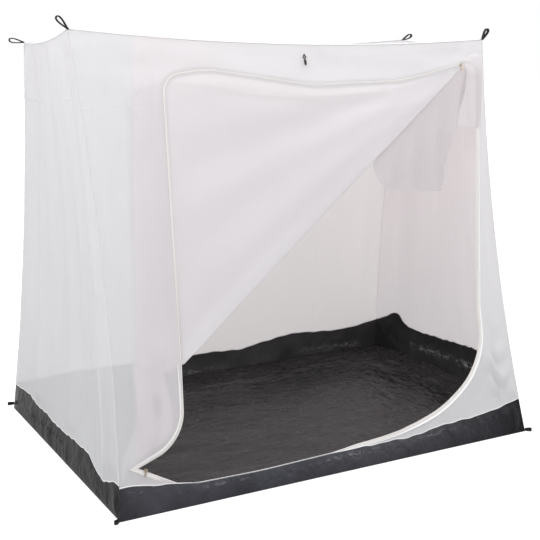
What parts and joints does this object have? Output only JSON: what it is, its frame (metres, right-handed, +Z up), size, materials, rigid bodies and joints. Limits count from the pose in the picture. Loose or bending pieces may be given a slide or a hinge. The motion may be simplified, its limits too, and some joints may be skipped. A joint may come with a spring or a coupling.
{
  "type": "hanging inner tent",
  "caption": "Hanging inner tent with sheer white walls, a raised dark groundsheet tub and a zipped front door folded back.",
  "frame": {"origin": "on the ground in the middle of the base, on the groundsheet's underside", "axes": "+Z up, -Y out of the door, +X to the right of someone facing the door from outside"},
  "size_m": [2.2245, 1.4675, 1.8498],
  "materials": {
    "groundsheet": "crinkled dark grey polyethylene sheet with a dull shine",
    "white_cloth": "thin sheer white polyester that lets light through",
    "zip_tape": "woven cream tape",
    "zip_chain": "nylon coil zip teeth",
    "zip_metal": "dull brass",
    "black_band": "woven black band",
    "black_plastic": "moulded black plastic"
  },
  "bodies": {
    "tent": {"groundsheet_floor": "groundsheet", "tub_wall_front": "groundsheet", "tub_wall_left": "groundsheet", "tub_wall_right": "groundsheet", "tub_wall_back": "groundsheet", "front_wall": "white_cloth", "left_wall": "white_cloth", "right_wall": "white_cloth", "back_wall": "white_cloth", "roof_panel": "white_cloth", "door_flap_front": "white_cloth", "zip_tape_wall": "zip_tape", "zip_chain_wall": "zip_chain", "zip_chain_flap": "zip_chain", "zip_tape_flap": "zip_tape"},
    "door_free": {"door_flap_free": "white_cloth", "zip_tape_free": "zip_tape", "zip_chain_free": "zip_chain"},
    "slider_upper": {"zip_slider_upper": "zip_metal"},
    "pull_upper": {"zip_pull_upper": "zip_metal"},
    "slider_lower": {"zip_slider_lower": "zip_metal"},
    "pull_lower": {"zip_pull_lower": "zip_metal"},
    "hanging_front_left": {"hanging_loop_front_left": "black_band"},
    "hanging_front_right": {"hanging_loop_front_right": "black_band"},
    "hanging_back_left": {"hanging_loop_back_left": "black_band"},
    "hanging_back_right": {"hanging_loop_back_right": "black_band"},
    "peg_front_left": {"peg_loop_front_left": "black_band"},
    "peg_front_right": {"peg_loop_front_right": "black_band"},
    "peg_back_left": {"peg_loop_back_left": "black_band"},
    "peg_back_right": {"peg_loop_back_right": "black_band"},
    "toggle_band": {"toggle_loop": "black_band"},
    "toggle": {"door_toggle": "black_plastic"}
  },
  "joints": [
    {"name": "door_fold", "type": "hinge", "parent": "tent", "child": "door_free", "pos_m": [-0.64431, -0.57531, 0.5346], "axis": [-0.7939, -0.1374, -0.5923], "range_deg": [0, 160]},
    {"name": "slide_upper", "type": "slide", "parent": "tent", "child": "slider_upper", "axis": [0.9815, 0.0433, 0.1866], "range_m": [-0.26, 0.002]},
    {"name": "swing_pull_upper", "type": "hinge", "parent": "slider_upper", "child": "pull_upper", "pos_m": [0.81996, -0.32566, 1.64007], "axis": [-0.9815, -0.0433, -0.1866], "range_deg": [0, 175]},
    {"name": "slide_lower", "type": "slide", "parent": "tent", "child": "slider_lower", "axis": [0.9119, -0.0927, -0.3998], "range_m": [-0.008, 0.11]},
    {"name": "swing_pull_lower", "type": "hinge", "parent": "slider_lower", "child": "pull_lower", "pos_m": [-0.84504, -0.66673, 0.16995], "axis": [-0.9119, 0.0927, 0.3998], "range_deg": [0, 175]},
    {"name": "swing_hanging_front_left", "type": "hinge", "parent": "tent", "child": "hanging_front_left", "pos_m": [-0.95762, -0.2831, 1.79801], "axis": [0, 1, 0], "range_deg": [-108, 67]},
    {"name": "swing_hanging_front_right", "type": "hinge", "parent": "tent", "child": "hanging_front_right", "pos_m": [0.95762, -0.294, 1.75101], "axis": [0, -1, 0], "range_deg": [-118, 57]},
    {"name": "swing_hanging_back_left", "type": "hinge", "parent": "tent", "child": "hanging_back_left", "pos_m": [-0.96862, 0.363, 1.75101], "axis": [0, 1, 0], "range_deg": [-70, 105]},
    {"name": "swing_hanging_back_right", "type": "hinge", "parent": "tent", "child": "hanging_back_right", "pos_m": [0.96862, 0.363, 1.75101], "axis": [0, -1, 0], "range_deg": [-85, 90]},
    {"name": "swing_peg_front_left", "type": "hinge", "parent": "tent", "child": "peg_front_left", "pos_m": [-0.96819, -0.6996, 0.00904], "axis": [0, 0, 1], "range_deg": [-45, 45]},
    {"name": "swing_peg_front_right", "type": "hinge", "parent": "tent", "child": "peg_front_right", "pos_m": [0.96835, -0.69991, 0.0088], "axis": [0, 0, 1], "range_deg": [-45, 45]},
    {"name": "swing_peg_back_left", "type": "hinge", "parent": "tent", "child": "peg_back_left", "pos_m": [-1.04464, 0.6953, 0.0268], "axis": [0, 0, 1], "range_deg": [-45, 45]},
    {"name": "swing_peg_back_right", "type": "hinge", "parent": "tent", "child": "peg_back_right", "pos_m": [1.08269, 0.73865, 0.0088], "axis": [0, 0, 1], "range_deg": [-45, 45]},
    {"name": "swing_toggle_loop", "type": "hinge", "parent": "tent", "child": "toggle_band", "pos_m": [0.02605, -0.30972, 1.6936], "axis": [-1, 0, 0], "range_deg": [0, 90]},
    {"name": "swing_toggle", "type": "hinge", "parent": "toggle_band", "child": "toggle", "pos_m": [0.02605, -0.31562, 1.6783], "axis": [-1, 0, 0], "range_deg": [0, 90]}
  ]
}
